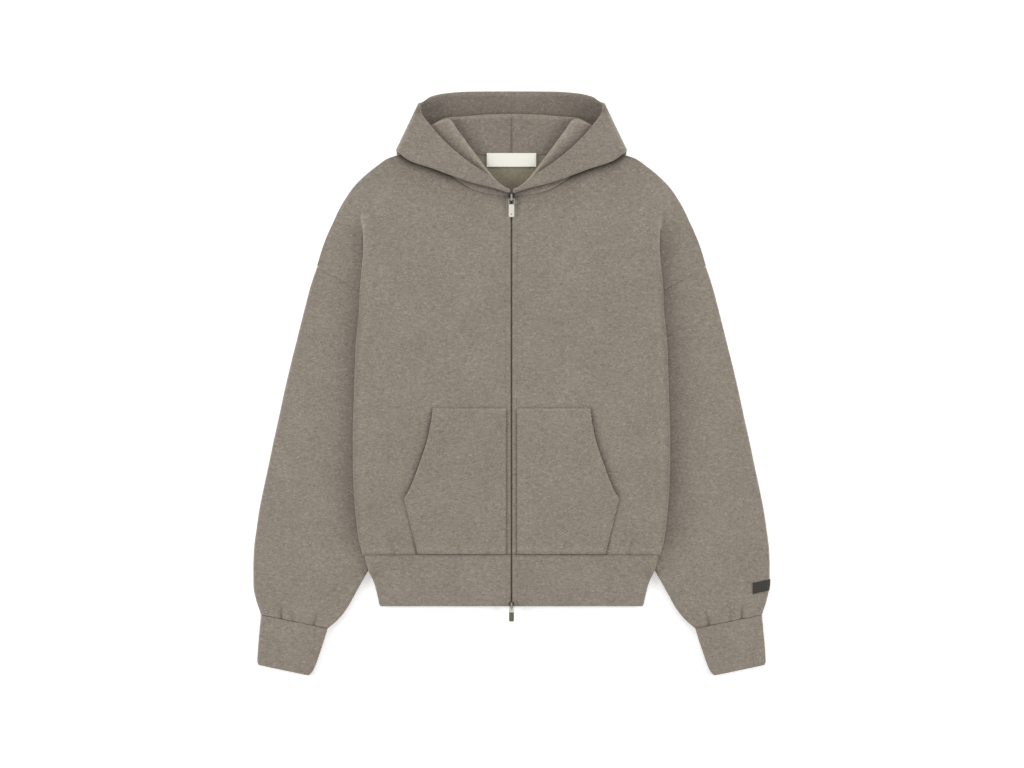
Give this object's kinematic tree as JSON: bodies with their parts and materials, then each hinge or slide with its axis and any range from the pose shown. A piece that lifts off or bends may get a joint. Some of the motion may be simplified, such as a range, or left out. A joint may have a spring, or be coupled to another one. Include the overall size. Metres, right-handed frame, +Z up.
{
  "type": "zip up hoodie",
  "caption": "Loose hooded sweatshirt laid flat on its back, with a full front zip, split front pocket, dropped shoulders, gathered cuffs and a wide hem band.",
  "frame": {"origin": "on the floor under the middle of the laid garment's outline", "axes": "+Z up from the floor, +Y from the hem towards the hood, +X towards the wearer's left sleeve"},
  "size_m": [0.7768, 0.8781, 0.0227],
  "materials": {
    "front_left": "brushed heather fleece, matt",
    "front_right": "brushed heather fleece, matt",
    "back": "brushed heather fleece, matt",
    "sleeve_left": "brushed heather fleece, matt",
    "sleeve_right": "brushed heather fleece, matt",
    "cuff_left": "brushed heather fleece, matt",
    "cuff_right": "brushed heather fleece, matt",
    "hem_band": "brushed heather fleece, matt",
    "hood_left": "brushed heather fleece, matt",
    "hood_right": "brushed heather fleece, matt",
    "pocket_left": "brushed heather fleece, matt",
    "pocket_right": "brushed heather fleece, matt",
    "zip_tape_left": "woven tape with a fine coil, matt",
    "zip_tape_right": "woven tape with a fine coil, matt",
    "upper_slider": "dark satin metal",
    "upper_pull": "pale moulded tab, satin",
    "lower_slider": "dark satin metal",
    "lower_pull": "dark satin metal",
    "neck_label": "woven label, matt",
    "sleeve_label": "woven label, matt"
  },
  "bodies": {
    "garment": {"front_left": "front_left", "front_right": "front_right", "back": "back", "sleeve_left": "sleeve_left", "sleeve_right": "sleeve_right", "cuff_left": "cuff_left", "cuff_right": "cuff_right", "hem_band": "hem_band", "hood_left": "hood_left", "hood_right": "hood_right", "pocket_left": "pocket_left", "pocket_right": "pocket_right", "zip_tape_left": "zip_tape_left", "zip_tape_right": "zip_tape_right", "upper_slider": "upper_slider", "lower_slider": "lower_slider", "neck_label": "neck_label", "sleeve_label": "sleeve_label"},
    "upper_pull": {"upper_pull": "upper_pull"},
    "lower_pull": {"lower_pull": "lower_pull"}
  },
  "joints": [
    {"name": "upper_pull_lift", "type": "hinge", "parent": "garment", "child": "upper_pull", "pos_m": [-0.00055, 0.27585, 0.0191], "axis": [-1, 0, 0], "range_deg": [0, 110]},
    {"name": "lower_pull_lift", "type": "hinge", "parent": "garment", "child": "lower_pull", "pos_m": [-0.00055, -0.33555, 0.0112], "axis": [-1, 0, 0], "range_deg": [0, 110]}
  ]
}
